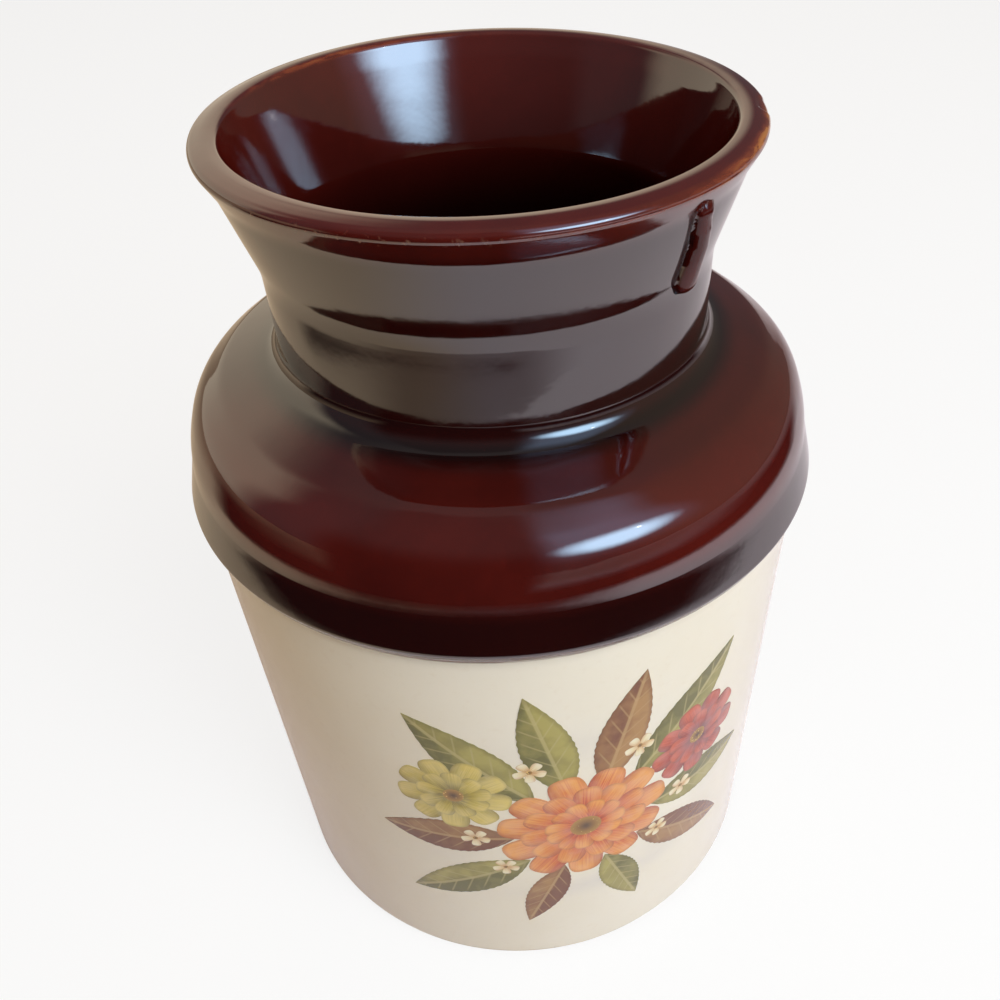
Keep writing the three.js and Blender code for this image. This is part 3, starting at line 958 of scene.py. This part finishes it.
def print_pieces():
    """Three round flowers among leaves, with small blossoms between them."""
    leaves = {name: PrintLayer() for name in LEAF_COLOURS}
    petals = {name: PrintLayer() for name in PETAL_COLOURS}
    hearts = PrintLayer()
    rng = np.random.default_rng(LEAF_SEED)
    for i, (across, up, lean, length, width) in enumerate(LEAVES):
        outline = leaf_outline(length * PRINT_REACH, width * PRINT_REACH)
        lift = LEAF_LIFT + LEAF_LAYER * (len(LEAVES) - i)
        for side in (-1, 1):
            layer = leaves["brown" if (i, side) in BROWN_LEAVES else "olive"]
            root = (side * across * PRINT_REACH, up * PRINT_REACH)
            layer.add(outline, root, side * lean, lift, rng.uniform(0, 1))
    for name, seed in BLOOM_SEEDS.items():
        add_bloom(petals[name], hearts, BLOOMS[name], BLOOM_LIFT, BLOOM_RINGS, seed)
    add_bloom(petals["orange"], hearts, BLOOMS["orange"], ROSETTE_LIFT, ROSETTE_RINGS, ROSETTE_SEED)
    for across, up, radius in BLOSSOMS:
        for side in (-1, 1):
            blossom = (side * across, up, radius, BLOSSOM_PETALS)
            add_bloom(petals["pale"], hearts, blossom, BLOSSOM_LIFT, BLOSSOM_RINGS, BLOSSOM_SEED)
    pieces = []
    for name, layer in leaves.items():
        material = leaf_colours(f"print_{name}", *LEAF_COLOURS[name])
        pieces.append(layer.build(f"print_{name}_leaves", material))
    for name, layer in petals.items():
        material = petal_colours(f"print_{name}", *PETAL_COLOURS[name])
        pieces.append(layer.build(f"print_{name}_petals", material))
    pieces.append(hearts.build("print_hearts", heart_colours("print_hearts")))
    return pieces


chestnut = brown_glaze("brown_glaze")
lining_brown = brown_glaze("lining_glaze")
ivory = cream_glaze("cream_glaze")
stoneware = bare_clay("stoneware")

for piece, node, slot in (
    (brown_top(chestnut), "brown_top_glaze", "brown_glaze"),
    (brown_lining(lining_brown), "brown_lining_glaze", "lining_glaze"),
    (cream_wall(ivory), "cream_body_glaze", "cream_glaze"),
    (base_coat(ivory), "base_glaze", "cream_glaze"),
    (clay_body(stoneware), "stoneware_body", "stoneware"),
    *((patch, "transfer_print", "print") for patch in print_pieces()),
):
    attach(piece, "root")
    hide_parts(node)


# Camera

def photo_camera():
    roll = Matrix.Rotation(CAMERA_ROLL, 3, "Z")
    turn = roll @ Matrix.Rotation(CAMERA_PITCH, 3, "X") @ Matrix.Rotation(CAMERA_YAW, 3, "Y")
    right, down, ahead = turn @ Matrix(((1, 0, 0), (0, 0, -1), (0, 1, 0)))
    place = Matrix((right, -down, -ahead)).transposed().to_4x4()
    place.translation = Vector((0, -CAMERA_REACH, CAMERA_HEIGHT)) * MM
    data = bpy.data.cameras.new("camera")
    data.sensor_width = 36
    data.lens = FOCAL / PICTURE * data.sensor_width
    data.shift_x = 0.5 - CENTRE_X / PICTURE
    data.shift_y = CENTRE_Y / PICTURE - 0.5
    data.clip_start, data.clip_end = 0.01, 50
    camera = bpy.data.objects.new("camera", data)
    camera.matrix_world = Matrix.Rotation(math.radians(CAMERA_AZIMUTH), 4, "Z") @ place
    bpy.context.scene.collection.objects.link(camera)
    bpy.context.scene.camera = camera


# Stage

def around(azimuth, elevation, distance, aim=Vector()):
    a, e = math.radians(azimuth + CAMERA_AZIMUTH), math.radians(elevation)
    return aim + distance * Vector((math.sin(a) * math.cos(e), -math.cos(a) * math.cos(e), math.sin(e)))


def lamp(name, azimuth, elevation, distance, width, height, radiance, colour, mirrored):
    """Oval lamp aimed at the jar; one that isn't mirrored leaves no highlight in the glaze."""
    data = bpy.data.lights.new(name, "AREA")
    data.shape = "ELLIPSE"
    data.size, data.size_y = width, height
    data.energy = radiance * math.pi * width * height * math.pi / 4
    data.color = colour
    data.use_nodes = True
    tree = data.node_tree
    place = tree.nodes.new("ShaderNodeNewGeometry").outputs["Parametric"]
    off_middle = tree.nodes.new("ShaderNodeVectorMath")
    off_middle.operation = "DISTANCE"
    off_middle.inputs[1].default_value = (0.5, 0.5, 0)
    fade = tree.nodes.new("ShaderNodeMapRange")
    fade.interpolation_type = "SMOOTHSTEP"
    fade.inputs["From Min"].default_value = 0.5
    fade.inputs["From Max"].default_value = LAMP_CORE
    tree.links.new(place, off_middle.inputs[0])
    tree.links.new(off_middle.outputs["Value"], fade.inputs["Value"])
    tree.links.new(fade.outputs["Result"], tree.nodes["Emission"].inputs["Strength"])
    made = bpy.data.objects.new(name, data)
    made.location = around(azimuth, elevation, distance, AIM)
    made.rotation_euler = (AIM - made.location).to_track_quat("-Z", "Y").to_euler()
    made.visible_camera = False
    made.visible_glossy = mirrored
    bpy.context.scene.collection.objects.link(made)


def plain_floor():
    """Pale floor that keeps the jar's shadow; the glaze mirrors it tan and darker at the left, painted shade
    for the jar's shadow there.
    """
    paint = Paint("floor")
    straight, mirrored = paint.seen()
    # painted shade: as mirrored, the floor turns tan and darker at the left, where the jar's shadow falls
    cool = paint.span(paint.dot(paint.place(), around(90, 0, 1)), *GROUND_TAN_SHADE_EDGE)
    shade_tinted = paint.mix(cool, GROUND_TAN_SHADE, GROUND_COOL)
    pale = paint.mix(straight, shade_tinted, GROUND_PALE)
    colour = paint.mix(paint.maths("MAXIMUM", straight, mirrored), GROUND_BOUNCE, pale)
    paint.set(Base_Color=colour, Roughness=0.9, Specular_IOR_Level=0.1)
    white = paint.glow(paint.mix(straight, shade_tinted, (1.0, 1.0, 1.0)))
    shown = paint.times(straight, GROUND_GLOW)
    share = paint.plus(shown, paint.times(mirrored, MIRRORED_GLOW))
    paint.blend(share, paint.shader.outputs["BSDF"], white)
    turns = np.linspace(0, 2 * math.pi, 97)[:-1]
    verts = [(GROUND_REACH * math.cos(a), GROUND_REACH * math.sin(a), 0) for a in turns]
    add_object("floor", verts, [tuple(range(len(verts)))], paint.material)


def only_mirrored(backdrop):
    """Stage piece that shows in the glaze and nowhere else."""
    backdrop.visible_camera = False
    backdrop.visible_diffuse = False
    backdrop.visible_shadow = False
    backdrop.data.materials[0].cycles.emission_sampling = "NONE"


def mirrored_room():
    """Dim room with a pale wall to the left and behind, and a soft window to the right."""
    paint = Paint("room")
    x, y, z = paint.node("SeparateXYZ", Vector=paint.unit(paint.place())).outputs
    level = paint.unit(paint.vector(x, y, 0.0))

    def arc(middle, half, soft):
        edges = (math.cos(math.radians(half + soft)), math.cos(math.radians(half)))
        return paint.span(paint.dot(level, around(middle, 0, 1)), *edges)

    colour = paint.mix(arc(95, 25, 40), ROOM_DIM, ROOM_RIGHT)
    colour = paint.mix(paint.span(z, 0.75, 0.95), colour, ROOM_CEILING)
    wall = paint.times(arc(-132, 26, 18), paint.span(z, 0.82, 0.55))
    far_wall = paint.times(arc(-160, 24, 16), paint.span(z, 0.58, 0.36))
    colour = paint.mix(paint.maths("MAXIMUM", wall, far_wall), colour, ROOM_WALL)
    window = paint.times(arc(38, 4, 32), paint.span(z, 0.05, 0.6))
    window = paint.times(window, paint.span(z, 1.0, 0.8))
    paint.surface(paint.glow(paint.mix(window, colour, ROOM_WINDOW)))
    rise = np.linspace(-math.pi / 2, math.pi / 2, 25)
    reach = ROOM_REACH / MM
    loop = np.column_stack((reach * np.cos(rise), reach * np.sin(rise)))
    loop[0][0] = loop[-1][0] = 0
    only_mirrored(revolve("room", loop, azimuths(ROOM_COLUMNS), paint.material))


def card_solid(side, rise):
    """How solid the dark card is at an azimuth and a share of its height, 0 to 1."""
    level = CARD_HEIGHT * rise
    edge = min(side - CARD_ARC[0], CARD_ARC[1] - side)
    inside = min(side - CARD_TALL_ARC[0], CARD_TALL_ARC[1] - side)
    low = 1 - smooth_step(CARD_SIDE_HEIGHT * 0.5, CARD_SIDE_HEIGHT, level)
    tall = smooth_step(-2, CARD_SOFT, inside) * (1 - smooth_step(0.7, 1, rise))
    veil = CARD_VEIL * (1 - smooth_step(*CARD_VEIL_ARC, abs(side - CARD_VEIL_MIDDLE)))
    foot = veil + (1 - veil) * smooth_step(*CARD_FOOT, level)
    return smooth_step(0, CARD_SOFT, edge) * foot * max(low, tall)


def dark_card():
    """Soft-edged dark card round the front, tall behind the camera and low at the sides."""
    paint = Paint("card")
    height = paint.node("SeparateXYZ", Vector=paint.place()).outputs["Z"]
    colour = paint.mix(paint.span(height, *CARD_GREY_HEIGHTS), CARD_DARK, CARD_GREY)
    clear = paint.node("BsdfTransparent").outputs["BSDF"]
    paint.blend(paint.value("solid"), clear, paint.glow(colour))
    sides = np.linspace(*CARD_ARC, 116)
    rises = np.linspace(0, 1, 41) ** 2
    verts, solid = [], []
    for rise in rises:
        for side in sides:
            at = around(side, 0, CARD_REACH + CARD_FURTHER * float(smooth_step(0, 40, side)))
            verts.append((at.x, at.y, 0.001 + CARD_HEIGHT * rise))
            solid.append(card_solid(side, rise))
    wide = len(sides)
    faces = [
        (row * wide + k, row * wide + k + 1, row * wide + wide + k + 1, row * wide + wide + k)
        for row in range(len(rises) - 1)
        for k in range(wide - 1)
    ]
    card = add_object("card", verts, faces, paint.material)
    add_values(card, solid=solid)
    only_mirrored(card)


def pale_world():
    """Dim warm fill; white where the background itself shows."""
    world = bpy.data.worlds.new("world")
    bpy.context.scene.world = world
    world.use_nodes = True
    tree = world.node_tree
    path = tree.nodes.new("ShaderNodeLightPath").outputs
    shown = path["Is Camera Ray"]
    for ray in ("Is Glossy Ray", "Is Transmission Ray"):
        either = tree.nodes.new("ShaderNodeMath")
        either.operation = "MAXIMUM"
        tree.links.new(shown, either.inputs[0])
        tree.links.new(path[ray], either.inputs[1])
        shown = either.outputs["Value"]
    colour = tree.nodes.new("ShaderNodeMix")
    colour.data_type = "RGBA"
    tree.links.new(shown, colour.inputs[0])
    colour.inputs[6].default_value = (*WORLD_FILL, 1)
    colour.inputs[7].default_value = (1, 1, 1, 1)
    background = tree.nodes["Background"]
    tree.links.new(colour.outputs[2], background.inputs["Color"])
    background.inputs["Strength"].default_value = 1.0


photo_camera()
plain_floor()
mirrored_room()
dark_card()
pale_world()
for row in LAMPS:
    lamp(*row)

scene = bpy.context.scene
scene.view_settings.view_transform = "Standard"
